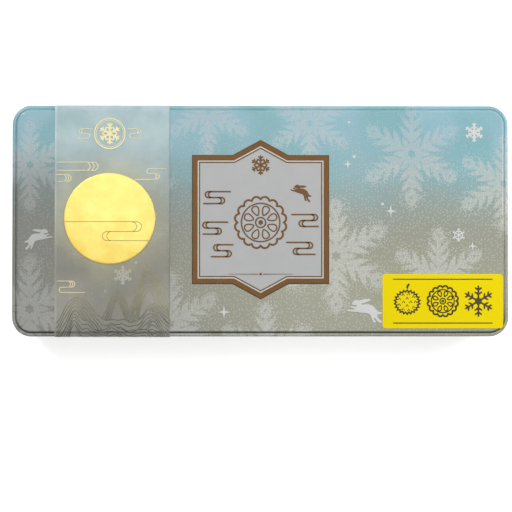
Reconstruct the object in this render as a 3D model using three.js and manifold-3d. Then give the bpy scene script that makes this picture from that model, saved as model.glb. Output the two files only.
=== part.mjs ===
// A shut gift tin for mooncakes, lying on its base with the lid up: a deep tray, a slip lid with a
// raised panel, a translucent sleeve round the left part, a foil disc on the sleeve and a label on the lid.
// Millimetres, +Z up, the origin on the surface that the tin lies on, under the middle of the tin.
// +X runs along the tin to the label, and +Y to the edge that is printed blue.
import * as THREE from "three";
import { mergeVertices } from "three/addons/utils/BufferGeometryUtils.js";
import Module from "manifold-3d";

const wasm = await Module();
wasm.setup();

// Driving dimensions of the tin
const TIN_LENGTH = 300;
const TIN_WIDTH = 140;
const TIN_TOP = 46;
const CORNER_RADIUS = 12;
const CORNER_STEPS = 14;

// The slip lid: a ring steps up over a groove to the raised panel, and the skirt ends in a curl
const SKIRT_INSET = 0.7;
const SKIRT_WALL = 0.7;
const LID_EDGE_Z = 29;
const CURL_RADIUS = 0.9;
const SHOULDER_RADIUS = 1.2;
const RING_DROP = 1.0;
const GROOVE_RADIUS = 0.45;
const PANEL_EDGE_RADIUS = 0.9;
const LID_SHEET = 2.2;
const FIT_GAP = 0.3;

// The tray: a straight wall that runs up inside the skirt, and a seamed foot round a raised bottom
const FOOT_RADIUS = 1.2;
const FOOT_INSET = 0.1;
const FOOT_FLAT = 1.4;
const FOOT_LEAN = 0.5;
const BOTTOM_EDGE = { run: 0.7, rise: 0.4 };
const BOTTOM_RECESS = 1.6;
const SEAM_RISE = 1.55;

// The embossed plaque in the middle of the lid: a square field with a low peak above and below
const PLAQUE = { centreY: 0.8, halfX: 41.3, halfY: 38.9, peakHalfX: 16.9, peakRise: 9.2 };
const PLAQUE_RELIEF = 0.45;
const PLAQUE_BORDER = 3.3;
const BORDER_RELIEF = 0.25;
const RELIEF_SLOPE = 0.3;

// The small embossed snow crystals, each with its middle and its arm's length
const CRYSTAL_RELIEF = 0.3;
const CRYSTALS = [
  { x: 129, y: 53.5, arm: 6.2 },
  { x: 119.5, y: -8.6, arm: 4.6 },
  { x: -83, y: -32.7, arm: 6.2 },
];

// The translucent sleeve, which is drawn tight over the edges of the tin and bows up a little over the lid
const SLEEVE_X = [-124, -54.8];
const SLEEVE_FILM = 0.25;
const SLEEVE_GAP = 0.05;
const SLEEVE_BOW = 0.5;
const BOW_STEPS = 16;

// The foil disc stamped on the sleeve, and the label on the lid
const DISC = { x: -91, y: 1.6, radius: 27.3, foil: 0.15, steps: 96 };
const LABEL = { x: 109.8, y: -48.4, width: 72.8, height: 32.8, radius: 1.9, paper: 0.2, steps: 6 };
const STUCK_GAP = 0.05;

// The tin stands on the sleeve's film, so its own foot is that much higher
const FOOT_Z = SLEEVE_FILM + SLEEVE_GAP;
const BOTTOM_PANEL_Z = FOOT_Z + BOTTOM_RECESS;
const RING_Z = TIN_TOP - RING_DROP;
const LID_UNDERSIDE_Z = TIN_TOP - LID_SHEET;
const RELIEF_ROOT_Z = TIN_TOP - LID_SHEET / 2;
const SKIRT_INNER_INSET = SKIRT_INSET + SKIRT_WALL;
const TRAY_WALL_INSET = SKIRT_INNER_INSET + FIT_GAP;
const SLEEVE_TOP_Z = TIN_TOP + SLEEVE_BOW + SLEEVE_GAP + SLEEVE_FILM;

// The round edges of the tin's section, from the foot up to the panel, each with its arc's middle
const FOOT = { inset: FOOT_INSET + FOOT_RADIUS, z: FOOT_Z + FOOT_RADIUS, radius: FOOT_RADIUS };
const CURL = { inset: CURL_RADIUS, z: LID_EDGE_Z, radius: CURL_RADIUS };
const SHOULDER = {
  inset: SKIRT_INSET + SHOULDER_RADIUS,
  z: RING_Z - SHOULDER_RADIUS,
  radius: SHOULDER_RADIUS,
};
const GROOVE = { inset: SHOULDER.inset + GROOVE_RADIUS, z: RING_Z, radius: GROOVE_RADIUS };
const PANEL_EDGE = {
  inset: GROOVE.inset + GROOVE_RADIUS + PANEL_EDGE_RADIUS,
  z: TIN_TOP - PANEL_EDGE_RADIUS,
  radius: PANEL_EDGE_RADIUS,
};

// Points on a round edge as [inset, z]: 0 degrees points out of the tin, and 90 degrees points up.
function arc({ inset, z, radius }, startDeg, endDeg, steps) {
  return Array.from({ length: steps + 1 }, (_, i) => {
    const angle = THREE.MathUtils.degToRad(startDeg + ((endDeg - startDeg) * i) / steps);
    return [inset - radius * Math.cos(angle), z + radius * Math.sin(angle)];
  });
}

// The angle at which a film drawn tight over two round edges leaves the lower one and meets the upper one.
function tangentDeg(lower, upper) {
  const out = lower.inset - upper.inset;
  const up = upper.z - lower.z;
  const turn = Math.acos((lower.radius - upper.radius) / Math.hypot(out, up));
  return THREE.MathUtils.radToDeg(Math.atan2(up, out) - turn);
}

// The tin's outline drawn inwards by inset, anticlockwise seen from above.
function outline(inset, z) {
  const radius = CORNER_RADIUS - inset;
  const middleX = TIN_LENGTH / 2 - CORNER_RADIUS;
  const middleY = TIN_WIDTH / 2 - CORNER_RADIUS;
  const corners = [[1, 1], [-1, 1], [-1, -1], [1, -1]];
  return corners.flatMap(([sideX, sideY], corner) =>
    Array.from({ length: CORNER_STEPS + 1 }, (_, i) => {
      const angle = ((corner + i / CORNER_STEPS) * Math.PI) / 2;
      const x = sideX * middleX + radius * Math.cos(angle);
      const y = sideY * middleY + radius * Math.sin(angle);
      return new THREE.Vector3(x, y, z);
    }),
  );
}

// A closed solid whose section is carried round the outline. The profile's [inset, z] points run from
// the middle of the underside outwards, up and back to the middle of the top.
function carriedRound(profile) {
  const loops = profile.map(([inset, z]) => outline(inset, z));
  const count = loops[0].length;
  const middles = [loops[0], loops.at(-1)].map((loop) => new THREE.Vector3(0, 0, loop[0].z));
  const points = [...loops.flat(), ...middles];
  const [underMiddle, topMiddle] = [points.length - 2, points.length - 1];
  const lastLoop = (loops.length - 1) * count;
  const faces = [];
  for (let i = 0; i < count; i++) {
    const next = (i + 1) % count;
    for (let start = 0; start < lastLoop; start += count) {
      faces.push(start + i, start + next, start + count + next);
      faces.push(start + i, start + count + next, start + count + i);
    }
    faces.push(underMiddle, next, i);
    faces.push(topMiddle, lastLoop + i, lastLoop + next);
  }
  return new THREE.BufferGeometry().setFromPoints(points).setIndex(faces);
}

// Booleans: a three.js geometry as a manifold solid and back.
function solidOf(geometry) {
  const bare = geometry.clone();
  bare.deleteAttribute("normal");
  bare.deleteAttribute("uv");
  const merged = mergeVertices(bare, 1e-4);
  const vertProperties = new Float32Array(merged.attributes.position.array);
  const triVerts = new Uint32Array(merged.index.array);
  return new wasm.Manifold(new wasm.Mesh({ numProp: 3, vertProperties, triVerts }));
}

function geometryOf(solid) {
  const mesh = solid.getMesh();
  return new THREE.BufferGeometry()
    .setAttribute("position", new THREE.BufferAttribute(mesh.vertProperties, 3))
    .setIndex(new THREE.BufferAttribute(mesh.triVerts, 1));
}

// A flat shape as a plate from lowZ to highZ, its edges sloped in where slope is given.
function plate(shape, lowZ, highZ, slope = 0, curveSegments = 12) {
  const geometry = new THREE.ExtrudeGeometry(shape, {
    depth: highZ - lowZ - 2 * slope,
    curveSegments,
    bevelEnabled: slope > 0,
    bevelThickness: slope,
    bevelSize: slope,
    bevelOffset: -slope,
    bevelSegments: 1,
  });
  return geometry.translate(0, 0, lowZ + slope);
}

// The lid

// The plaque's outline, drawn inwards by inset, with the slanted sides at the same distance as the others.
function plaqueOutline(inset) {
  const { centreY, halfX, halfY, peakHalfX, peakRise } = PLAQUE;
  const slant = Math.hypot(peakHalfX, peakRise);
  const apexY = halfY + peakRise - (inset * slant) / peakHalfX;
  const shoulderX = peakHalfX - (inset * (slant - peakHalfX)) / peakRise;
  const [sideX, sideY] = [halfX - inset, halfY - inset];
  const upper = [[sideX, sideY], [shoulderX, sideY], [0, apexY], [-shoulderX, sideY], [-sideX, sideY]];
  const lower = upper.map(([x, y]) => [-x, -y]);
  return [...upper, ...lower].map(([x, y]) => new THREE.Vector2(x, y + centreY));
}

// A six-armed snow crystal: each arm is a blade with a pair of pointed twigs on either side.
function crystalShape({ x, y, arm }) {
  const halfArm = [
    [0.16, -0.09],
    [0.34, -0.07],
    [0.52, -0.3],
    [0.55, -0.07],
    [0.68, -0.06],
    [0.84, -0.22],
    [0.84, -0.05],
    [1, 0],
  ];
  const otherHalf = halfArm.slice(0, -1).reverse().map(([along, across]) => [along, -across]);
  const origin = new THREE.Vector2();
  const middle = new THREE.Vector2(x, y);
  const points = Array.from({ length: 6 }, (_, i) => {
    const turn = Math.PI / 2 + (i * Math.PI) / 3;
    return [...halfArm, ...otherHalf].map(([along, across]) =>
      new THREE.Vector2(along, across).multiplyScalar(arm).rotateAround(origin, turn).add(middle),
    );
  });
  return new THREE.Shape(points.flat());
}

function lidGeometry() {
  const body = carriedRound([
    [SKIRT_INNER_INSET, LID_UNDERSIDE_Z],
    [SKIRT_INNER_INSET, LID_EDGE_Z + CURL_RADIUS],
    // The curl turns from the skirt's inner face, under the edge, up to its outer face.
    ...arc(CURL, 235, 430, 10),
    ...arc(SHOULDER, 0, 90, 6),
    // The groove is hollow, so its arc runs under its middle.
    ...arc(GROOVE, 360, 180, 6).slice(1),
    ...arc(PANEL_EDGE, 0, 90, 6),
  ]);
  const field = plate(
    new THREE.Shape(plaqueOutline(0)),
    RELIEF_ROOT_Z,
    TIN_TOP + PLAQUE_RELIEF,
    RELIEF_SLOPE,
  );
  const borderShape = new THREE.Shape(plaqueOutline(RELIEF_SLOPE));
  borderShape.holes.push(new THREE.Path(plaqueOutline(PLAQUE_BORDER)));
  const border = plate(borderShape, RELIEF_ROOT_Z, TIN_TOP + PLAQUE_RELIEF + BORDER_RELIEF);
  const crystals = CRYSTALS.map((crystal) =>
    plate(crystalShape(crystal), RELIEF_ROOT_Z, TIN_TOP + CRYSTAL_RELIEF),
  );
  const relief = [field, border, ...crystals].map(solidOf);
  return geometryOf(relief.reduce((lid, raised) => lid.add(raised), solidOf(body)));
}

// The tray

function trayGeometry() {
  const footInnerInset = FOOT.inset + FOOT_FLAT;
  const bottomEdgeInset = footInnerInset + FOOT_LEAN;
  return carriedRound([
    [bottomEdgeInset + BOTTOM_EDGE.run, BOTTOM_PANEL_Z],
    [bottomEdgeInset, BOTTOM_PANEL_Z - BOTTOM_EDGE.rise],
    [footInnerInset, FOOT_Z],
    ...arc(FOOT, -90, 70, 9),
    [TRAY_WALL_INSET, FOOT.z + SEAM_RISE],
    [TRAY_WALL_INSET, LID_UNDERSIDE_Z - FIT_GAP],
  ]);
}

// The sleeve

// One side of the section that the film is drawn over, from the foot to the panel's edge, as [inset, z].
// It touches the foot, the curl, the shoulder and the panel's edge, and spans what lies between them.
function wrappedEdge() {
  const overCurl = tangentDeg(FOOT, CURL);
  const overShoulder = tangentDeg(CURL, SHOULDER);
  const overPanel = tangentDeg(SHOULDER, PANEL_EDGE);
  return [
    ...arc(FOOT, -90, overCurl, 5),
    ...arc(CURL, overCurl, overShoulder, 1),
    ...arc(SHOULDER, overShoulder, overPanel, 4),
    ...arc(PANEL_EDGE, overPanel, 90, 2),
  ];
}

// The bow over the lid, between the panel's two edges, from +Y to -Y as [y, z].
function bowedTop() {
  const reach = TIN_WIDTH / 2 - PANEL_EDGE.inset;
  return Array.from({ length: BOW_STEPS - 1 }, (_, i) => {
    const across = 1 - (2 * (i + 1)) / BOW_STEPS;
    return [reach * across, TIN_TOP + SLEEVE_BOW * (1 - across ** 2)];
  });
}

// A convex loop pushed outwards by distance: each corner moves to where its two sides then meet.
function pushedOut(loop, distance) {
  return loop.map((corner, i) => {
    const before = loop.at(i - 1);
    const after = loop[(i + 1) % loop.length];
    const into = corner.clone().sub(before).normalize();
    const out = after.clone().sub(corner).normalize();
    const normal = new THREE.Vector2(into.y + out.y, -into.x - out.x).normalize();
    const reach = distance / (normal.x * into.y - normal.y * into.x);
    return corner.clone().addScaledVector(normal, reach);
  });
}

function sleeveGeometry() {
  const rightEdge = wrappedEdge().map(([inset, z]) => [TIN_WIDTH / 2 - inset, z]);
  const leftEdge = rightEdge.map(([y, z]) => [-y, z]).reverse();
  const section = [...rightEdge, ...bowedTop(), ...leftEdge].map(([y, z]) => new THREE.Vector2(y, z));
  const inner = pushedOut(section, SLEEVE_GAP);
  const outer = pushedOut(section, SLEEVE_GAP + SLEEVE_FILM);
  const shape = new THREE.Shape(outer);
  shape.holes.push(new THREE.Path(inner));
  const width = SLEEVE_X[1] - SLEEVE_X[0];
  const geometry = new THREE.ExtrudeGeometry(shape, { depth: width, steps: 1, bevelEnabled: false });
  // The section was drawn in x and y, so x turns to y, y to z, and the extrusion runs along x.
  geometry.applyMatrix4(new THREE.Matrix4().makeBasis(
    new THREE.Vector3(0, 1, 0),
    new THREE.Vector3(0, 0, 1),
    new THREE.Vector3(1, 0, 0),
  ));
  return geometry.translate(SLEEVE_X[0], 0, 0);
}

// The foil disc and the label

function discGeometry() {
  const { x, y, radius, foil, steps } = DISC;
  const low = SLEEVE_TOP_Z + STUCK_GAP;
  const circle = new THREE.Shape().absarc(x, y, radius, 0, 2 * Math.PI);
  return plate(circle, low, low + foil, 0, steps / 2);
}

function labelGeometry() {
  const { x, y, width, height, radius, paper, steps } = LABEL;
  const shape = new THREE.Shape();
  const [farX, farY] = [width / 2 - radius, height / 2 - radius];
  shape.absarc(x + farX, y + farY, radius, 0, Math.PI / 2);
  shape.absarc(x - farX, y + farY, radius, Math.PI / 2, Math.PI);
  shape.absarc(x - farX, y - farY, radius, Math.PI, 1.5 * Math.PI);
  shape.absarc(x + farX, y - farY, radius, 1.5 * Math.PI, 2 * Math.PI);
  const low = TIN_TOP + STUCK_GAP;
  return plate(shape, low, low + paper, 0, steps);
}

// The pieces

function piece(name, geometry, color, roughness, metalness) {
  const mesh = new THREE.Mesh(geometry, new THREE.MeshStandardMaterial({ color, roughness, metalness }));
  mesh.name = name;
  return mesh;
}

const tin = new THREE.Group();
tin.add(
  piece("tin_tray", trayGeometry(), "#8f9a94", 0.4, 0.2),
  piece("tin_lid", lidGeometry(), "#95b3b6", 0.4, 0.2),
  piece("vellum_sleeve", sleeveGeometry(), "#bcc6c2", 0.6, 0),
  piece("foil_disc", discGeometry(), "#f3e284", 0.35, 1),
  piece("flavour_label", labelGeometry(), "#ead200", 0.45, 0),
);

export default tin;
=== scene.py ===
"""A shut gift tin for mooncakes, dressed for the camera.

The pressed lid and tray, the frosted sleeve, the foil moon and the label are made here as fine
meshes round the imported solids, with the print, the foils and the inks as procedural materials.
Sizes are in millimetres until a mesh is made, and Blender's own units are metres.
"""

from bisect import bisect_right
from collections import namedtuple
from itertools import accumulate
from math import acos, atan2, ceil, cos, degrees, dist, exp, hypot, pi, radians, sin, sqrt, tau

import bmesh
import bpy
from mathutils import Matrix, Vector


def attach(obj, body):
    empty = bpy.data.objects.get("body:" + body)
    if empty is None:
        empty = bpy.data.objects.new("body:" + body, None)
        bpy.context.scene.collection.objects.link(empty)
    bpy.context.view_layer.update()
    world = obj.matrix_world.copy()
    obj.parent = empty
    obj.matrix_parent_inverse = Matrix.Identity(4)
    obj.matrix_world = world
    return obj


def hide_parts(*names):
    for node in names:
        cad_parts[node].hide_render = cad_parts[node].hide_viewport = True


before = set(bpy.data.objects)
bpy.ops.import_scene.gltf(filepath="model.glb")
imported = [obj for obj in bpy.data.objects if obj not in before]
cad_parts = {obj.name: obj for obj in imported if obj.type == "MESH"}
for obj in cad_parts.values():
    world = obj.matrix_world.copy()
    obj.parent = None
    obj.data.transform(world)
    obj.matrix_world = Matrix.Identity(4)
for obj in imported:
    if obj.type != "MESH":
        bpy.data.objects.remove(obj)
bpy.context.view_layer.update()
scene = bpy.context.scene

MM = 0.001

# The signs of X and Y in each quarter, anticlockwise
QUARTERS = ((1, 1), (-1, 1), (-1, -1), (1, -1))

# The tin, as its solids have it
TIN_LENGTH = 300
TIN_WIDTH = 140
TIN_TOP = 46
CORNER_RADIUS = 12
CORNER_STEPS = 24
SKIRT_INSET = 0.2
SKIRT_INNER_INSET = 1.4
LID_SHEET = 2.2
LID_EDGE_Z = 29
RING_Z = 45
FOOT_Z = 0.3
BOTTOM_PANEL_Z = 1.9
TRAY_WALL_INSET = 1.7

# The round edges of the tin's section, each with its arc's middle
RoundEdge = namedtuple("RoundEdge", "inset z radius")
FOOT = RoundEdge(1.3, FOOT_Z + 1.2, 1.2)
CURL = RoundEdge(0.9, LID_EDGE_Z, 0.9)
SHOULDER = RoundEdge(SKIRT_INSET + 1.2, RING_Z - 1.2, 1.2)
GROOVE = RoundEdge(SHOULDER.inset + 1.25, RING_Z, 0.45)
PANEL_EDGE = RoundEdge(GROOVE.inset + 0.45 + 0.9, TIN_TOP - 0.9, 0.9)
GROOVE_WALL = 0.1

# The embossed plaque
PLAQUE_CENTRE_Y = 0.8
PLAQUE_HALF_X = 41.3
PLAQUE_HALF_Y = 38.9
PEAK_HALF_X = 16.9
PEAK_RISE = 9.2
PLAQUE_BORDER = 3.3
FIELD_TOP = TIN_TOP + 0.45
BORDER_TOP = TIN_TOP + 0.7

# The sleeve, the foil moon and the label
SLEEVE_LEFT = -124
SLEEVE_RIGHT = -54.8
FILM = 0.25
FILM_GAP = 0.05
FILM_BOW = 0.5
MOON_X = -90.9
MOON_Y = 1.3
MOON_RADIUS = 27.4
MOON_FOIL = 0.15
LABEL_X = 109.8
LABEL_Y = -48.4
LABEL_WIDTH = 72.8
LABEL_HEIGHT = 32.8
LABEL_CORNER = 1.9
LABEL_PAPER = 0.2
STUCK_GAP = 0.05

# The camera looks straight down on the lid, as the photograph does, from a little below its middle
VIEW_WIDTH = 308.4
VIEW_MIDDLE = (-2.8, -21.2)
CAMERA_HEIGHT = 900
CAMERA_STEP = (-10, -18)


# The camera and the light


def put(name, data):
    """A new object of that data in the scene."""
    thing = bpy.data.objects.new(name, data)
    scene.collection.objects.link(thing)
    return thing


def aim(thing, place, target):
    """Put a thing at its place, with its -Z towards the target and its +X level."""
    thing.location = Vector(place) * MM
    away_x, away_y, away_z = Vector(target) * MM - thing.location
    lean = atan2(away_y, hypot(away_x, away_z))
    thing.rotation_euler = (lean, atan2(-away_x, -away_z), 0)


def add_camera():
    camera = put("camera", bpy.data.cameras.new("camera"))
    middle_x, middle_y = VIEW_MIDDLE
    step_x, step_y = CAMERA_STEP
    place = (middle_x + step_x, middle_y + step_y, TIN_TOP + CAMERA_HEIGHT)
    aim(camera, place, (middle_x, middle_y, TIN_TOP))
    camera.data.lens = camera.data.sensor_width * CAMERA_HEIGHT / VIEW_WIDTH
    camera.data.clip_start = 0.05
    scene.camera = camera


def add_light(name, place, target, size, power):
    light = put(name, bpy.data.lights.new(name, "AREA"))
    light.data.size = size * MM
    light.data.energy = power
    aim(light, place, target)


add_camera()
scene.view_settings.view_transform = "Standard"
# The key light makes the soft shadows, and the two softboxes the sheen of the foil and the varnish
add_light("key", (-900, 1000, 1400), (0, 0, TIN_TOP), 420, 11)
add_light("left softbox", (-150, 90, 950), (-90, 0, TIN_TOP), 600, 1.3)
add_light("right softbox", (480, 160, 500), (120, 20, TIN_TOP), 260, 1.9)


# Materials


def linear(code):
    """An sRGB hex colour as linear red, green, blue and alpha."""
    parts = (int(code[i : i + 2], 16) / 255 for i in (1, 3, 5))
    return (*(c / 12.92 if c <= 0.04045 else ((c + 0.055) / 1.055) ** 2.4 for c in parts), 1)


def add(tree, kind, inputs=(), **settings):
    """A shader node. Its kind may say after a point what it does, as in Math.SINE or Mix.RGBA.

    Its inputs come in order or by name, as values, hex colours, sockets or nodes.
    """
    kind, _, task = kind.partition(".")
    if task:
        settings["data_type" if kind == "Mix" else "operation"] = task
    node = tree.nodes.new("ShaderNode" + kind)
    for name, value in settings.items():
        setattr(node, name, value)
    sockets = [socket for socket in node.inputs if socket.enabled]
    if isinstance(inputs, dict):
        sockets = [next(socket for socket in sockets if socket.name == name) for name in inputs]
        inputs = inputs.values()
    for socket, value in zip(sockets, inputs):
        if isinstance(value, str):
            value = linear(value)
        if isinstance(value, bpy.types.Node):
            value = next(output for output in value.outputs if output.enabled)
        if isinstance(value, bpy.types.NodeSocket):
            tree.links.new(value, socket)
        else:
            socket.default_value = value
    return node


def dress(name, finish, *choices):
    """A material whose shader's sockets are what the finish says of them."""
    material = bpy.data.materials.new(name)
    material.use_nodes = True
    tree = material.node_tree
    tree.nodes.clear()
    shader = add(tree, "BsdfPrincipled", finish(tree, place_in_mm(tree), *choices))
    add(tree, "OutputMaterial", {"Surface": shader})
    return material


def place_in_mm(tree):
    """Where a point lies in the tin's own frame, in millimetres."""
    place = add(tree, "TexCoord").outputs["Object"]
    return add(tree, "VectorMath.SCALE", [place, 1 / MM])


# The sky of the print, from the edge of the lid at -Y to the one at +Y, in millimetres from its middle
SKY = [
    (-70, "#9f9f8e"), (-40, "#a1a18d"), (-20, "#9d9e8c"), (-4, "#9a9c8f"), (8, "#95a199"),
    (18, "#91a7a6"), (30, "#8eb1b6"), (46, "#8bb4bf"), (60, "#8eb8c5"), (70, "#95bdc8"),
]

# The colour of the shade painted into the print towards the lid's lower left
PAINTED_SHADE_COLOUR = "#6b6d69"

# The large snow crystals of the print, with their middles and the length of their arms
PRINTED_CRYSTALS = [
    (91.2, 40.5, 31), (45.4, -21.2, 34), (29.7, 58.9, 26), (-31.7, 66.1, 27), (147.2, 22.7, 29),
    (107.4, -33.9, 29), (-138.9, 33.6, 27), (-139.0, -53.0, 32), (-77.0, 34.8, 27), (-54.5, -62.0, 31),
    (3.0, -80.0, 30), (64.0, -98.0, 27), (66.0, 101.0, 26), (-92.0, 98.0, 28),
]
# The blades of half an arm, which is mirrored round: root, tip and half width in parts of the arm's length
CRYSTAL_BLADES = [
    ((-0.1, 0), (1.0, 0), 0.06),
    ((0.12, -0.13), (0.56, 0.25), 0.075),
    ((0.36, -0.10), (0.76, 0.22), 0.066),
    ((0.66, 0), (1.05, 0), 0.15),
    ((0.08, 0.046), (0.33, 0.19), 0.065),
]


def nearest_crystal(tree, place):
    """The way from the nearest crystal's middle, in parts of its arm's length, and how long it is."""
    nearest = None
    for x, y, arm in PRINTED_CRYSTALS:
        away = add(tree, "VectorMath.SUBTRACT", [place, (x, y, 0)])
        away = add(tree, "VectorMath.SCALE", [away, 1 / arm])
        reach = add(tree, "VectorMath.LENGTH", [away])
        if nearest:
            closer = add(tree, "Math.LESS_THAN", [reach, nearest_reach])
            nearest = add(tree, "Mix.VECTOR", [closer, nearest, away])
            nearest_reach = add(tree, "Math.MINIMUM", [reach, nearest_reach])
        else:
            nearest, nearest_reach = away, reach
    return nearest, nearest_reach


def crystal_cover(tree, away, reach):
    """How far a point lies inside a crystal: near 1 on a blade's middle line, 0 at its edge."""
    away_x, away_y, _ = add(tree, "SeparateXYZ", [away]).outputs
    turn = add(tree, "Math.ARCTAN2", [away_y, away_x])
    from_arm = add(tree, "Math.SUBTRACT", [turn, pi / 2])
    folded = add(tree, "Math.PINGPONG", [from_arm, pi / 6])
    waves = (add(tree, kind, [folded]) for kind in ("Math.COSINE", "Math.SINE"))
    spot = add(tree, "CombineXYZ", [add(tree, "Math.MULTIPLY", [reach, wave]) for wave in waves])
    cover = add(tree, "Math.MULTIPLY_ADD", [reach, -6, 1.5])
    for root, tip, half_width in CRYSTAL_BLADES:
        axis = Vector(tip) - Vector(root)
        ahead = axis / axis.length_squared
        aside = Vector((-axis.y, axis.x)) / (axis.length * half_width)
        off = add(tree, "VectorMath.SUBTRACT", [spot, (*root, 0)])
        run = add(tree, "VectorMath.DOT_PRODUCT", [off, (*ahead, 0)])
        side = add(tree, "VectorMath.DOT_PRODUCT", [off, (*aside, 0)])
        side = add(tree, "Math.ABSOLUTE", [side])
        from_middle = add(tree, "Math.SUBTRACT", [run, 0.5])
        from_middle = add(tree, "Math.MULTIPLY", [from_middle, from_middle])
        width = add(tree, "Math.MULTIPLY_ADD", [from_middle, -4, 1])
        blade = add(tree, "Math.SUBTRACT", [width, side])
        cover = add(tree, "Math.MAXIMUM", [cover, blade])
    # A star is left open in the middle, and a spot near the end of each arm
    from_star = add(tree, "VectorMath.DOT_PRODUCT", [spot, (1, 1.5, 0)])
    from_spot = add(tree, "VectorMath.DISTANCE", [spot, (0.86, 0, 0)])
    for off, radius in ((from_star, 0.09), (from_spot, 0.022)):
        hole = add(tree, "Math.MULTIPLY_ADD", [off, 25, -25 * radius])
        cover = add(tree, "Math.MINIMUM", [cover, hole])
    return cover


def snow_dots(tree, place, pitch, radius, density):
    """Dots of one size, one to a cell, in as many of the cells as the density says."""
    inputs = {"Vector": place, "Scale": 1 / pitch, "Randomness": 0.9}
    cells = add(tree, "TexVoronoi", inputs, voronoi_dimensions="2D")
    dot = add(tree, "MapRange", [cells.outputs["Distance"], radius / pitch, 0.5 * radius / pitch])
    luck = add(tree, "SeparateColor", [cells.outputs["Color"]])
    chosen = add(tree, "Math.LESS_THAN", [luck, density])
    return add(tree, "Math.MULTIPLY", [dot, chosen])


def toothed(tree, place, size, detail, strength):
    """The normal of a surface with a fine tooth, of that size in millimetres."""
    tooth = add(tree, "TexNoise", [place, 1 / size, detail])
    return add(tree, "Bump", {"Height": tooth, "Strength": strength, "Distance": 0.02 * MM})


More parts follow.
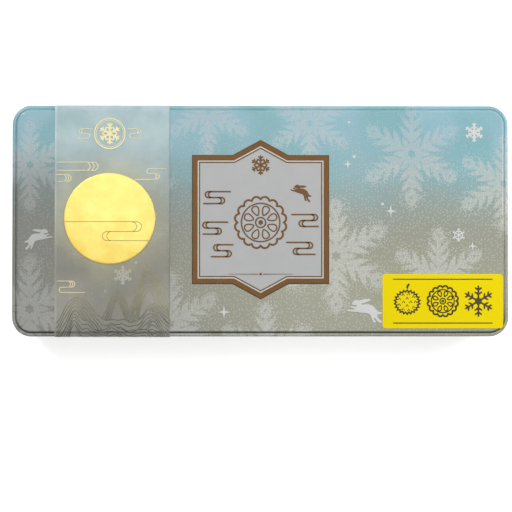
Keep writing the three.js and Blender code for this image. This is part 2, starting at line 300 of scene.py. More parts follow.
def printed_tinplate(tree, place, painted_groove_shade=0):
    """Tinplate that was offset-printed flat, varnished and then pressed, so the print runs on down the sides.

    The ink is matt under clear varnish, and the sheet is not quite flat, which bends the reflections.
    Shade may be painted into the groove along the front of the lid.
    """
    drop = add(tree, "Math.SUBTRACT", [TIN_TOP, add(tree, "SeparateXYZ", [place]).outputs["Z"]])
    drop = add(tree, "Math.MAXIMUM", [drop, 0])
    spread = add(tree, "VectorMath.SCALE", [add(tree, "TexCoord").outputs["Normal"], drop])
    flat = add(tree, "VectorMath.ADD", [place, spread])
    flat = add(tree, "VectorMath.MULTIPLY", [flat, (1, 1, 0)])
    flat_x, flat_y, _ = add(tree, "SeparateXYZ", [flat]).outputs

    # The sky, with drifts that shift its colours by some millimetres, and teal patches in the blue
    drift = add(tree, "TexNoise", [flat, 1 / 45, 3])
    level = add(tree, "Math.MULTIPLY_ADD", [drift, 18, flat_y])
    low, high = SKY[0][0], SKY[-1][0]
    sky = add(tree, "ValToRGB", [add(tree, "MapRange", [level, low + 9, high + 9])])
    for y, code in SKY[1:-1]:
        sky.color_ramp.elements.new((y - low) / (high - low))
    for stop, (y, code) in zip(sky.color_ramp.elements, SKY):
        stop.color = linear(code)
    upper = add(tree, "MapRange", [flat_y, 6, 46, 0, 0.8])
    patches = add(tree, "TexNoise", [flat, 1 / 38, 1])
    patches = add(tree, "MapRange", [patches, 0.42, 0.6], interpolation_type="SMOOTHSTEP")
    patches = add(tree, "Math.MULTIPLY", [patches, upper])
    sky = add(tree, "Mix.RGBA", [patches, sky, "#7fb0b6"])

    # Frosted film blurs what lies behind it, so under the sleeve the print loses its dots and some contrast
    left = add(tree, "Math.LESS_THAN", [flat_x, SLEEVE_LEFT])
    right = add(tree, "Math.LESS_THAN", [flat_x, SLEEVE_RIGHT])
    hidden = add(tree, "Math.SUBTRACT", [right, left])
    # The crystals are a flat tint that thins out to dots towards their tips
    away, reach = nearest_crystal(tree, flat)
    cover = crystal_cover(tree, away, reach)
    tint = add(tree, "Math.MULTIPLY", [cover, 2.6], use_clamp=True)
    thinned = add(tree, "MapRange", [reach, 0.45, 1.05, 0.8, 0.4])
    clear = add(tree, "Math.MULTIPLY_ADD", [hidden, -0.15, 1])
    for factor in (thinned, clear):
        tint = add(tree, "Math.MULTIPLY", [tint, factor])
    lower = add(tree, "MapRange", [flat_y, 56, 4])
    pale = add(tree, "Mix.RGBA", [lower, "#a9bec5", "#bdbeb6"])
    # Shade is painted into the print towards the lid's lower left, less on the crystals than on the sky
    painted_shade = add(tree, "MapRange", [flat_x, 20, -110, 0, 0.7])
    painted_shade = add(tree, "Math.MULTIPLY", [painted_shade, add(tree, "MapRange", [level, 56, 30])])
    sky = add(tree, "Mix.RGBA", [painted_shade, sky, PAINTED_SHADE_COLOUR])
    painted_shade = add(tree, "Math.MULTIPLY", [painted_shade, 0.7])
    pale = add(tree, "Mix.RGBA", [painted_shade, pale, PAINTED_SHADE_COLOUR])
    colour = add(tree, "Mix.RGBA", [tint, sky, pale])

    # Fine dots fill the crystals' tips and the gaps beside them, and coarser ones lie all over like snow
    near = add(tree, "MapRange", [cover, -1.0, 0.3, 0, 0.9])
    near = add(tree, "Math.MULTIPLY", [near, add(tree, "MapRange", [reach, 0.2, 0.8, 0.2, 1])])
    fine = snow_dots(tree, flat, 1.05, 0.42, near)
    snowfall = add(tree, "MapRange", [lower, 0, 1, 0.4, 0.8])
    coarse = snow_dots(tree, flat, 1.9, 0.45, snowfall)
    coarse = add(tree, "Math.MULTIPLY", [coarse, 0.7])
    dots = add(tree, "Math.MAXIMUM", [fine, coarse])
    strength = add(tree, "MapRange", [lower, 0, 1, 0.24, 0.6])
    clear = add(tree, "Math.MULTIPLY_ADD", [hidden, -0.85, 1])
    for factor in (strength, clear):
        dots = add(tree, "Math.MULTIPLY", [dots, factor])
    # The snow dots take the same painted shade
    snow = add(tree, "Mix.RGBA", [painted_shade, "#dadeda", PAINTED_SHADE_COLOUR])
    colour = add(tree, "Mix.RGBA", [dots, colour, snow])
    # Painted shade in the groove, darkest along the lid's front edge
    if painted_groove_shade:
        painted_groove_shade = add(tree, "MapRange", [flat_y, -46, -66, 0, painted_groove_shade])
        colour = add(tree, "Mix.RGBA", [painted_groove_shade, colour, "#2f302a"])

    # A sheet that is not quite flat over 40 mm, under varnish with an orange peel of about 1 mm
    waves = add(tree, "TexNoise", [flat, 1 / 40, 1])
    peel = add(tree, "TexNoise", [flat, 1 / 1.1, 2])
    sheet = add(tree, "Bump", {"Height": waves, "Strength": 0.35, "Distance": 0.6 * MM})
    varnish = add(tree, "Bump", {"Height": peel, "Normal": sheet, "Strength": 0.25, "Distance": 0.02 * MM})
    coat = {"Coat Weight": 0.7, "Coat Roughness": 0.12, "Coat IOR": 1.5, "Coat Normal": varnish}
    return {"Base Color": colour, "Normal": sheet, "Roughness": 0.42, "Specular IOR Level": 0.3, **coat}


def pressed_ink(tree, place, code, light_code, metallic, roughness):
    """Opaque ink on the pressed relief, mottled over a few millimetres, with the tooth of a matt varnish.

    It is painted greyer towards the lid's left end, as shade.
    """
    patches = add(tree, "TexNoise", [place, 1 / 9, 3])
    colour = add(tree, "Mix.RGBA", [patches, code, light_code])
    # Painted shade: the ink greys towards the lid's left end
    painted_shade_left = add(tree, "MapRange", [add(tree, "SeparateXYZ", [place]), -100, -126, 0, 0.3])
    colour = add(tree, "Mix.RGBA", [painted_shade_left, colour, "#75756f"])
    bump = toothed(tree, place, 0.7, 2, 0.3)
    return {"Base Color": colour, "Normal": bump, "Metallic": metallic, "Roughness": roughness}


def bare_tinplate(tree, place):
    """Tinplate left unprinted under the tray: a bright metal with the fine lines of the rolling mill."""
    stretched = add(tree, "VectorMath.MULTIPLY", [place, (0.02, 1, 1)])
    lines = add(tree, "TexNoise", [stretched, 1 / 0.6, 4])
    colour = add(tree, "Mix.RGBA", [lines, "#a9aba9", "#c4c5c1"])
    shine = add(tree, "MapRange", [lines, 0, 1, 0.28, 0.42])
    bump = add(tree, "Bump", {"Height": lines, "Strength": 0.2, "Distance": 0.01 * MM})
    return {"Base Color": colour, "Normal": bump, "Metallic": 1.0, "Roughness": shine}


def frosted_film(tree, place):
    """Polypropylene film, frosted on both faces: a milky veil, with a painted highlight along its left margin
    and a painted shadow along its right edge.
    """
    place_x, place_y, _ = add(tree, "SeparateXYZ", [place]).outputs
    # A warm bloom of ink round the moon
    from_moon = add(tree, "VectorMath.DISTANCE", [place, (MOON_X, MOON_Y, TIN_TOP)])
    bloom = add(tree, "MapRange", [from_moon, 46, 25], interpolation_type="SMOOTHSTEP")
    upper = add(tree, "MapRange", [place_y, -30, 50])
    veil = add(tree, "Mix.RGBA", [upper, "#bab8ac", "#daeef0"])
    warmth = add(tree, "Math.MULTIPLY", [bloom, 0.5])
    veil = add(tree, "Mix.RGBA", [warmth, veil, "#e4dcae"])
    mist = add(tree, "TexNoise", [place, 1 / 22, 4])
    milk = add(tree, "MapRange", [mist, 0.38, 0.66, 0.12, 0.38])
    milk = add(tree, "Math.MULTIPLY_ADD", [bloom, 0.06, milk])
    milk = add(tree, "Math.MULTIPLY_ADD", [upper, 0.24, milk])
    # Mist lies on the slopes of the outer hills
    for x, y, reach in ((-119, -48, 20), (-60, -46, 14)):
        from_mist = add(tree, "VectorMath.DISTANCE", [place, (x, y, TIN_TOP)])
        patch = add(tree, "MapRange", [from_mist, reach, 0.3 * reach, 0, 0.48])
        milk = add(tree, "Math.ADD", [milk, patch])
    # A painted highlight whitens the left margin, and the cut edge at the right is painted dark as its shadow
    painted_edge_highlight = add(tree, "MapRange", [place_x, SLEEVE_LEFT + 1.9, SLEEVE_LEFT + 0.6, 0, 0.25])
    cut = add(tree, "MapRange", [place_x, SLEEVE_RIGHT - 0.5, SLEEVE_RIGHT - 0.3, 0, 0.4])
    veil = add(tree, "Mix.RGBA", [cut, veil, "#4b4c42"])
    edges = add(tree, "Math.ADD", [painted_edge_highlight, cut])
    alpha = add(tree, "Math.ADD", [milk, edges], use_clamp=True)
    bump = toothed(tree, place, 0.9, 2, 0.2)
    return {"Base Color": veil, "Alpha": alpha, "Normal": bump, "Roughness": 0.5, "IOR": 1.49}


def stamped_foil(tree, place, code, deep_code):
    """Hot-stamped gold foil: a satin metal, blotched, with a painted highlight and shade: lighter near a spot
    just above the moon's middle and deeper away from it.
    """
    blotches = add(tree, "TexNoise", [place, 1 / 11, 6, 0.65])
    mottle_and_painted_shade = add(tree, "MapRange", [blotches, 0.4, 0.66, 0, 0.45])
    # Painted highlight and shade: the foil deepens with distance from a spot just above the moon's middle
    from_painted_highlight = add(tree, "VectorMath.DISTANCE", [place, (MOON_X + 4, MOON_Y + 10, TIN_TOP)])
    painted_foil_shade = add(tree, "MapRange", [from_painted_highlight, 18, 40, 0, 0.7])
    mottle_and_painted_shade = add(tree, "Math.ADD", [mottle_and_painted_shade, painted_foil_shade], use_clamp=True)
    colour = add(tree, "Mix.RGBA", [mottle_and_painted_shade, code, deep_code])
    shine = add(tree, "MapRange", [blotches, 0, 1, 0.36, 0.5])
    bump = toothed(tree, place, 0.8, 3, 0.35)
    return {"Base Color": colour, "Normal": bump, "Metallic": 1.0, "Roughness": shine}


def hill_ink(tree, place):
    """The hills' thin ink, gold on the ridges and umber towards the edge of the lid."""
    wander = add(tree, "TexNoise", [place, 1 / 12, 2])
    height = add(tree, "SeparateXYZ", [place]).outputs["Y"]
    level = add(tree, "Math.MULTIPLY_ADD", [wander, 16, height])
    deep = add(tree, "MapRange", [level, -34, -56])
    colour = add(tree, "Mix.RGBA", [deep, "#bcb177", "#4d4638"])
    worn = add(tree, "TexNoise", [place, 1 / 7, 3])
    alpha = add(tree, "MapRange", [worn, 0.3, 0.65, 0.25, 0.9])
    return {"Base Color": colour, "Alpha": alpha, "Roughness": 0.5}


def label_paper(tree, place):
    """Coated label paper printed solid yellow: half glossy, with a trace of paper fibre."""
    cloudy = add(tree, "TexNoise", [place, 1 / 16, 3])
    colour = add(tree, "Mix.RGBA", [cloudy, "#f2d600", "#eedd00"])
    bump = toothed(tree, place, 0.7, 3, 0.2)
    return {"Base Color": colour, "Normal": bump, "Roughness": 0.5, "IOR": 1.45, "Specular IOR Level": 0.1}


def printing_ink(tree, place, code, dark_code):
    """A thin film of offset ink, a little uneven in its density."""
    density = add(tree, "TexNoise", [place, 1 / 3, 2])
    colour = add(tree, "Mix.RGBA", [density, code, dark_code])
    return {"Base Color": colour, "Roughness": 0.5}


def studio_paper(tree, place):
    """White paper under the tin, bright enough to burn out to white in the picture."""
    tone = add(tree, "TexNoise", [place, 1 / 400])
    colour = add(tree, "Mix.RGBA", [tone, "#f6f6f6", "#fafafa"])
    return {"Base Color": colour, "Roughness": 0.9, "Emission Color": (1, 1, 1, 1), "Emission Strength": 0.6}


# Shapes: lists of points in millimetres and of faces that name them


def evenly(start, end, steps):
    """The values from start to end in so many even steps."""
    return [start + (end - start) * i / steps for i in range(steps + 1)]


def joined(shapes):
    points, faces = [], []
    for more_points, more_faces in shapes:
        start = len(points)
        points.extend(more_points)
        faces.extend(tuple(start + i for i in face) for face in more_faces)
    return points, faces


def lofted(loops, ring=False):
    """Faces between loops of as many points each, with a face at either end or closed on itself."""
    count = len(loops[0])
    points = [point for loop in loops for point in loop]
    faces = []
    for i in range(len(loops) if ring else len(loops) - 1):
        this, following = i * count, (i + 1) % len(loops) * count
        for j in range(count):
            k = (j + 1) % count
            faces.append((this + j, this + k, following + k, following + j))
    if not ring:
        faces += [tuple(reversed(range(count))), tuple(range(len(points) - count, len(points)))]
    return points, faces


def mesh_object(name, shape, materials, smooth_deg=28, place=None):
    """A mesh of that shape in metres, its faces turned outwards and its sharp edges kept."""
    points, faces = shape
    mesh = bpy.data.meshes.new(name)
    mesh.from_pydata([Vector(place(*p) if place else p) * MM for p in points], [], faces)
    tidy = bmesh.new()
    tidy.from_mesh(mesh)
    bmesh.ops.recalc_face_normals(tidy, faces=tidy.faces)
    tidy.to_mesh(mesh)
    tidy.free()
    for material in materials:
        mesh.materials.append(material)
    mesh.shade_smooth()
    mesh.set_sharp_from_angle(angle=radians(smooth_deg))
    return put(name, mesh)


def arc(edge, start_deg, end_deg, steps):
    """Points on a round edge as (inset, z): 0 degrees points out of the tin, and 90 degrees points up."""
    angles = map(radians, evenly(start_deg, end_deg, steps))
    return [(edge.inset - edge.radius * cos(a), edge.z + edge.radius * sin(a)) for a in angles]


def at_height(loop, z):
    return [(x, y, z) for x, y in loop]


def rounded_rectangle(x, y, width, height, radius, steps):
    """A rectangle round x, y with round corners, anticlockwise seen from above."""
    points = []
    for corner, (side_x, side_y) in enumerate(QUARTERS):
        middle_x = x + side_x * (width / 2 - radius)
        middle_y = y + side_y * (height / 2 - radius)
        for angle in evenly(corner * pi / 2, (corner + 1) * pi / 2, steps):
            points.append((middle_x + radius * cos(angle), middle_y + radius * sin(angle)))
    return points


def carried_round(profile):
    """A section of the tin, as insets and heights, carried round its outline."""
    loops = []
    for inset, z in profile:
        length, width, radius = TIN_LENGTH - 2 * inset, TIN_WIDTH - 2 * inset, CORNER_RADIUS - inset
        loops.append(at_height(rounded_rectangle(0, 0, length, width, radius, CORNER_STEPS), z))
    return lofted(loops)


def drawn_in(loop, distance):
    """An anticlockwise outline drawn inwards, each corner to where its two sides then meet."""
    count = len(loop)
    moved = []
    for i in range(count):
        before, here, after = (Vector(loop[(i + j) % count][:2]) for j in (-1, 0, 1))
        into = (here - before).normalized()
        out = (after - here).normalized()
        normal = Vector((-into.y - out.y, into.x + out.x)).normalized()
        reach = distance / max(0.25, normal.x * -into.y + normal.y * into.x)
        moved.append(tuple(here + normal * reach))
    return moved


def plate(loop, low, high, slope=0.12):
    """A flat outline as a plate whose upper edge slopes in."""
    top = drawn_in(loop, slope)
    return lofted([at_height(loop, low), at_height(loop, high - slope), at_height(top, high)])


def band(outer, inner, low, high, slope=0.12):
    """The flat band between two outlines of as many points, both of its upper edges sloped."""
    edge = high - slope
    upper = [(outer, low), (outer, edge), (drawn_in(outer, slope), high), (drawn_in(inner, -slope), high)]
    rows = upper + [(inner, edge), (inner, low)]
    return lofted([at_height(loop, z) for loop, z in rows], ring=True)


def ribbon(path, width, low, high):
    """A raised line of that width along a flat path. The width may be a function of the part along it."""
    last = len(path) - 1
    sections = []
    for i, here in enumerate(path):
        before = path[max(0, i - 1)]
        after = path[min(last, i + 1)]
        into = (Vector(here) - Vector(before)).normalized()
        out = (Vector(after) - Vector(here)).normalized()
        ahead = (into + out).normalized()
        aside = Vector((-ahead.y, ahead.x))
        half = (width(i / last) if callable(width) else width) / 2
        bevel = min(0.1, 0.3 * half)
        corners = ((half, low), (half - bevel, high), (bevel - half, high), (-half, low))
        sections.append([(*(Vector(here) + aside * across), z) for across, z in corners])
    return lofted(sections)


def half_turn(x, y_from, y_to, side):
    """Half a circle from one height to another, bulging to +X if side is 1 and to -X if it is -1."""
    middle, radius = (y_from + y_to) / 2, abs(y_from - y_to) / 2
    sign = 1 if y_from > y_to else -1
    return [(x + side * radius * sin(t), middle + sign * radius * cos(t)) for t in evenly(0, pi, 10)]


def circle(x, y, radius, steps):
    """A loop round x, y. Its radius may be a function of the angle."""
    points = []
    for turn in evenly(0, tau, steps)[:-1]:
        reach = radius(turn) if callable(radius) else radius
        points.append((x + reach * cos(turn), y + reach * sin(turn)))
    return points


def turned(points, turn, x=0, y=0, scale=1):
    """The points turned and scaled about 0, 0 and then moved to x, y."""
    cosine, sine = scale * cos(turn), scale * sin(turn)
    return [(x + a * cosine - b * sine, y + a * sine + b * cosine) for a, b in points]


def smooth_loop(corners, steps):
    """A closed curve through the corners, with a Catmull-Rom stretch between each two."""
    count = len(corners)
    points = []
    for i in range(count):
        a, b, c, d = (Vector(corners[(i + j) % count]) for j in (-1, 0, 1, 2))
        for step in range(steps):
            t = step / steps
            point = 2 * b + (c - a) * t + (2 * a - 5 * b + 4 * c - d) * t**2 + (3 * b - a - 3 * c + d) * t**3
            points.append(tuple(point / 2))
    return points


# The relief of the lid

# Half an arm of a snow crystal, as (along, across) in parts of the arm's length
PEARL_ARM = [
    (0.20, -0.11), (0.33, -0.11), (0.46, -0.255), (0.58, -0.27), (0.56, -0.11), (0.66, -0.10),
    (0.78, -0.22), (0.88, -0.19), (0.86, -0.09), (1.0, 0),
]
COPPER_ARM = [
    (0.18, -0.10), (0.26, -0.06), (0.40, -0.06), (0.54, -0.25), (0.64, -0.25), (0.56, -0.06),
    (0.68, -0.06), (0.80, -0.23), (0.91, -0.21), (0.84, -0.06), (0.98, -0.05), (1.02, 0),
]
BOLD_ARM = [
    (0.20, -0.12), (0.27, -0.085), (0.40, -0.085), (0.54, -0.33), (0.68, -0.33), (0.59, -0.09),
    (0.69, -0.09), (0.82, -0.27), (0.96, -0.25), (0.88, -0.09), (1.0, -0.08), (1.04, 0),
]
# A leaping hare that faces -X, as its outline in parts of its length
HARE = [
    (-0.37, 0.19), (-0.32, 0.27), (-0.24, 0.31), (-0.15, 0.29), (0.02, 0.33), (0.19, 0.31),
    (0.05, 0.24), (-0.09, 0.20), (-0.06, 0.17), (0.06, 0.18), (0.18, 0.16), (0.28, 0.10), (0.34, 0.02),
    (0.40, -0.03), (0.49, -0.05), (0.47, -0.11), (0.38, -0.11), (0.37, -0.18), (0.43, -0.25),
    (0.50, -0.31), (0.46, -0.36), (0.36, -0.30), (0.30, -0.21), (0.28, -0.25), (0.32, -0.31),
    (0.27, -0.35), (0.21, -0.25), (0.15, -0.12), (0.04, -0.07), (-0.12, -0.06), (-0.24, -0.04),
    (-0.36, -0.03), (-0.49, -0.01), (-0.48, 0.03), (-0.34, 0.03), (-0.27, 0.05), (-0.40, 0.09),
    (-0.38, 0.13), (-0.24, 0.11), (-0.23, 0.15), (-0.31, 0.15),
]
PEARL_CRYSTALS = [(129, 53.5, 6.2), (-83, -32.7, 6.2)]
RINGED_CRYSTAL = (119.5, -8.6, 4.3)
SPARKLES = [(78.5, 5.9, 4.0), (127.9, -15.2, 2.9), (52.6, 34.2, 3.2), (-22.1, -55.0, 4.2)]
SNOW_SPOTS = [
    (73.6, 10.2, 0.9), (56.4, 38.8, 1.0), (53.4, 59.6, 0.8), (-93.5, -42.4, 0.9), (-75.2, -25.2, 0.9),
]
# Each hare's middle, its length, whether it faces -X (1) or +X (-1), and how far its head is lifted
HARES = [(62.6, -54.1, 21, 1, 0), (-133.8, -10.6, 17, -1, 6)]
PLAQUE_HARE = (24.4, 17.2, 13, 1, 13)
PEARL_TOP = TIN_TOP + 0.3
SPARKLE_TOP = TIN_TOP + 0.16
MOTIF_TOP = FIELD_TOP + 0.3
RELIEF_ROOT = TIN_TOP - LID_SHEET / 2


def plaque_outline(inset):
    """The plaque's outline drawn inwards, its slanted sides by the same distance as its straight ones."""
    slant = hypot(PEAK_HALF_X, PEAK_RISE)
    apex = (0, PLAQUE_HALF_Y + PEAK_RISE - inset * slant / PEAK_HALF_X)
    shoulder_x = PEAK_HALF_X - inset * (slant - PEAK_HALF_X) / PEAK_RISE
    side_x = PLAQUE_HALF_X - inset
    side_y = PLAQUE_HALF_Y - inset
    upper = [(side_x, side_y), (shoulder_x, side_y), apex, (-shoulder_x, side_y), (-side_x, side_y)]
    lower = [(-x, -y) for x, y in upper]
    return [(x, y + PLAQUE_CENTRE_Y) for x, y in upper + lower]


def crystal_outline(x, y, arm, half_arm):
    whole_arm = half_arm + [(along, -across) for along, across in reversed(half_arm[:-1])]
    points = []
    for i in range(6):
        points += turned(whole_arm, pi / 2 + i * pi / 3, x, y, arm)
    return points


def sparkle_outline(x, y, reach):
    """A star of four long points with hollow sides."""
    points = []
    for i in range(16):
        part, bend = ((1, 0), (0.42, -0.14), (0.24, 0), (0.42, 0.14))[i % 4]
        turn = i * pi / 8 + bend
        points.append((x + part * reach * cos(turn), y + part * reach * sin(turn)))
    return points


def hare_outline(x, y, length, facing, lift_deg):
    """The hare's outline, anticlockwise whichever way it faces."""
    corners = turned([(facing * a, b) for a, b in HARE], radians(-facing * lift_deg), x, y, length)
    loop = smooth_loop(corners, 3)
    return loop if facing < 0 else loop[::-1]


def petal(near, far, width):
    """The outline of a petal from near to far along +X, anticlockwise."""
    points = []
    for t in evenly(0, tau, 20)[:-1]:
        along = (near + far) / 2 - (far - near) / 2 * cos(t)
        points.append((along, width / 2 * sin(t) * (0.75 - 0.3 * cos(t))))
    return points[::-1]


def line_cloud(start_x, turns, end_x, levels):
    """The path of a line cloud that runs from level to level, turning back at each of the turns."""
    path = [(start_x, levels[0])]
    side = 1 if start_x < turns[0] else -1
    for x, level, next_level in zip(turns, levels, levels[1:]):
        path += half_turn(x, level, next_level, side)
        side = -side
    return path + [(end_x, levels[-1])]


def mooncake_motif(middle_y, scale, low, high):
    """A mooncake seen from above, in raised lines: a scalloped rim, a ring, petals and a boss."""
    rim = circle(0, middle_y, lambda turn: scale * (15.6 + 1.5 * abs(sin(8 * turn)) ** 0.7), 128)
    shapes = [band(rim, drawn_in(rim, 1.15), low, high)]
    for radius, width in ((12.6, 0.8), (3.6, 0.8)):
        outer = circle(0, middle_y, radius * scale, 64)
        shapes.append(band(outer, circle(0, middle_y, radius * scale - width, 64), low, high))
    for i in range(8):
        loop = turned(petal(4.4, 11.3, 6.4), (i + 0.5) * pi / 4, 0, middle_y, scale)
        shapes.append(band(loop, drawn_in(loop, 0.75), low, high))
    shapes.append(plate(circle(0, middle_y, 1.5 * scale, 24), low, high))
    return shapes


def plaque_motifs():
    """The plaque's copper ornaments: a crystal, a mooncake, a hare, clouds and a rule."""
    low, high = FIELD_TOP - 0.2, MOTIF_TOP
    shapes = [plate(crystal_outline(0, 33.6, 5.7, BOLD_ARM), low, high, 0.1)]
    shapes += mooncake_motif(-1.0, 0.95, low, high)
    shapes.append(plate(hare_outline(*PLAQUE_HARE), low, high, 0.1))
    for side, lift, start, turns, end in (
        (-1, 14.0, 18.0, (31.5, 23.5), 34.5),
        (-1, -4.4, 19.5, (33.0, 25.5), 35.0),
        (1, 0.2, 18.5, (32.5, 25.0), 35.0),
        (1, -16.6, 15.5, (29.5, 21.5), 33.0),
        (-1, -18.0, 16.5, (26.5, 19.5), 30.0),
    ):
        levels = [lift + step for step in (3.6, 0, -3.6)]
        nested = (half_turn(turns[0] - 1.9, *levels[:2], 1), half_turn(turns[1] + 1.9, *levels[1:], -1))
        for path in (line_cloud(start, turns, end, levels), *nested):
            shapes.append(ribbon([(side * x, y) for x, y in path], 1.0, low, high))
    reach, rule_y, dot = 19.2, -32.1, 0.8
    for side in (-1, 1):
        path = [(side * x, rule_y) for x in evenly(dot + 0.7, reach, 12)]
        shapes.append(ribbon(path, lambda part: 0.55 - 0.4 * part, low, high))
    shapes.append(plate(circle(0, rule_y, dot, 20), low, high))
    return shapes


PRINT, PEARL, FIELD, COPPER, BARE, LINE, SHADED_GROOVE = range(7)
lid_materials = [
    dress("printed tinplate", printed_tinplate),
    dress("pearl ink", pressed_ink, "#cccecb", "#d8dad6", 0.0, 0.36),
    dress("silver grey ink", pressed_ink, "#b1b2b2", "#b9bab9", 0.1, 0.38),
    dress("copper ink", pressed_ink, "#6b4a22", "#7d582b", 0.4, 0.4),
    dress("bare tinplate", bare_tinplate),
    dress("white ink", pressed_ink, "#cbc9c2", "#d3d1ca", 0.0, 0.4),
    # The same print, with shade painted into the groove
    dress("printed tinplate with painted groove shade", printed_tinplate, 0.8),
]


def relief_shapes():
    """Each raised shape of the lid, with the ink that it wears."""
    for x, y, arm in PEARL_CRYSTALS:
        yield plate(crystal_outline(x, y, arm, PEARL_ARM), RELIEF_ROOT, PEARL_TOP, 0.08), PEARL
    x, y, arm = RINGED_CRYSTAL
    yield plate(crystal_outline(x, y, arm, COPPER_ARM), RELIEF_ROOT, PEARL_TOP, 0.06), PEARL
    ring = circle(x, y, 0.66 * arm, 36), circle(x, y, 0.48 * arm, 36)
    yield band(*ring, RELIEF_ROOT, PEARL_TOP - 0.02, 0.06), PEARL
    for sparkle in SPARKLES:
        yield plate(sparkle_outline(*sparkle), RELIEF_ROOT, SPARKLE_TOP, 0.04), PEARL
    for spot in SNOW_SPOTS:
        yield plate(circle(*spot, 16), RELIEF_ROOT, SPARKLE_TOP, 0.08), PEARL
    for hare in HARES:
        yield plate(hare_outline(*hare), RELIEF_ROOT, PEARL_TOP, 0.1), PEARL
    yield plate(plaque_outline(0), RELIEF_ROOT, FIELD_TOP, 0.35), COPPER
    yield plate(plaque_outline(0.6), RELIEF_ROOT + 0.1, FIELD_TOP + 0.03, 0.02), FIELD
    yield band(plaque_outline(0.35), plaque_outline(PLAQUE_BORDER), RELIEF_ROOT, BORDER_TOP, 0.15), COPPER
    yield band(plaque_outline(3.4), plaque_outline(4.0), RELIEF_ROOT, FIELD_TOP + 0.08, 0.03), LINE
    yield band(plaque_outline(4.15), plaque_outline(4.85), RELIEF_ROOT, FIELD_TOP + 0.14, 0.06), COPPER


def fused(body, reliefs):
    """The pressed sheet and its relief as one closed mesh. All have the same list of materials."""
    folder = bpy.data.collections.new("relief")
    scene.collection.children.link(folder)
    for relief in reliefs:
        scene.collection.objects.unlink(relief)
        folder.objects.link(relief)
    union = body.modifiers.new("relief", "BOOLEAN")
    union.operation = "UNION"
    union.solver = "EXACT"
    union.operand_type = "COLLECTION"
    union.collection = folder
    depsgraph = bpy.context.evaluated_depsgraph_get()
    mesh = bpy.data.meshes.new_from_object(body.evaluated_get(depsgraph))
    body.modifiers.remove(union)
    for relief in reliefs:
        bpy.data.objects.remove(relief)
    bpy.data.collections.remove(folder)
    body.data = mesh
    mesh.shade_smooth()
    mesh.set_sharp_from_angle(angle=radians(20))
    return body


def make_lid():
    """The slip lid: skirt with its curl, ring, groove and raised panel, with all that is pressed in it."""
    underside = TIN_TOP - LID_SHEET
    profile = [(SKIRT_INNER_INSET, underside), (SKIRT_INNER_INSET, LID_EDGE_Z + CURL.radius)]
    profile += arc(CURL, 235, 430, 18)
    profile += arc(SHOULDER, 0, 90, 12)
    profile.append((GROOVE.inset - GROOVE.radius, RING_Z))
    groove_start = len(profile)
    profile += arc(GROOVE._replace(z=GROOVE.z - GROOVE_WALL), 360, 180, 12)
    groove_end = len(profile) + 6
    profile += arc(PANEL_EDGE, 0, 90, 12)
    # One more loop on the flat keeps the round edge's shading off the panel
    profile.append((PANEL_EDGE.inset + 0.4, TIN_TOP))
    lid = mesh_object("tin_lid_pressed", carried_round(profile), lid_materials)
    # Shade is painted into the groove and a little way up the panel's edge
    faces_round = 4 * (CORNER_STEPS + 1)
    for face in lid.data.polygons[groove_start * faces_round : groove_end * faces_round]:
        face.material_index = SHADED_GROOVE
    reliefs = []
    for shape, ink in relief_shapes():
        relief = mesh_object("relief", shape, lid_materials)
        for face in relief.data.polygons:
            face.material_index = ink
        reliefs.append(relief)
    return fused(lid, reliefs)


def make_tray():
    """The tray: a straight wall up inside the skirt, and a seamed foot round a raised bottom."""
    foot_inner = FOOT.inset + 1.4
    bottom = [(6.0, 0), (5.0, 0.35), (2.2, 0.35), (1.2, 0), (0.8, 0), (0.5, 0.4)]
    profile = [(foot_inner + inwards, BOTTOM_PANEL_Z - drop) for inwards, drop in bottom]
    profile += [(foot_inner, FOOT_Z)] + arc(FOOT, -90, 70, 14)
    profile += [(TRAY_WALL_INSET, FOOT.z + 1.55), (TRAY_WALL_INSET, TIN_TOP - LID_SHEET - 0.3)]
    tray = mesh_object("tin_tray_pressed", carried_round(profile), lid_materials)
    for face in tray.data.polygons:
        if face.center.z < (BOTTOM_PANEL_Z + 0.1) * MM and face.normal.z < -0.4:
            face.material_index = BARE
    return tray


# The sleeve


def tangent_deg(lower, upper):
    """The angle at which a film drawn tight over two round edges leaves one for the other."""
    out, up = lower.inset - upper.inset, upper.z - lower.z
    turn = acos((lower.radius - upper.radius) / hypot(out, up))
    return degrees(atan2(up, out) - turn)


BOW_REACH = TIN_WIDTH / 2 - PANEL_EDGE.inset


def wrapped_half():
    """Half the section the film is drawn over, from the top's middle to the foot: y, z and its normal."""
    half = []
    for y in evenly(0, BOW_REACH, 24)[:-1]:
        normal = Vector((2 * FILM_BOW * y / BOW_REACH**2, 1)).normalized()
        half.append((y, TIN_TOP + FILM_BOW * (1 - (y / BOW_REACH) ** 2), *normal))
    over_curl = tangent_deg(FOOT, CURL)
    over_shoulder = tangent_deg(CURL, SHOULDER)
    over_panel = tangent_deg(SHOULDER, PANEL_EDGE)
    for edge, start, end, steps in (
        (PANEL_EDGE, 90, over_panel, 4),
        (SHOULDER, over_panel, over_shoulder, 8),
        (CURL, over_shoulder, over_curl, 2),
        (FOOT, over_curl, -90, 8),
    ):
        for angle in map(radians, evenly(start, end, steps)):
            out = TIN_WIDTH / 2 - edge.inset + edge.radius * cos(angle)
            half.append((out, edge.z + edge.radius * sin(angle), cos(angle), sin(angle)))
    return half


def flap(end_y, inner):
    """The film under the tray, from the foot to its end. The inner flap steps up over the outer one."""
    foot_y = TIN_WIDTH / 2 - FOOT.inset
    step = FILM + 0.05
    stations = [(0.6, 0), (0.12, 0), (0.1, step), (0.0, step)] if inner else [(0.5, 0), (0.0, 0)]
    return [(end_y + (foot_y - end_y) * part, FOOT_Z + lift, 0, -1) for part, lift in stations]


WRAP = wrapped_half() + flap(-8, False)
OTHER_WRAP = wrapped_half() + flap(-2, True)
# How far along the film each point of its section lies from the top's middle
WRAP_LENGTHS = [0, *accumulate(dist(a[:2], b[:2]) for a, b in zip(WRAP, WRAP[1:]))]


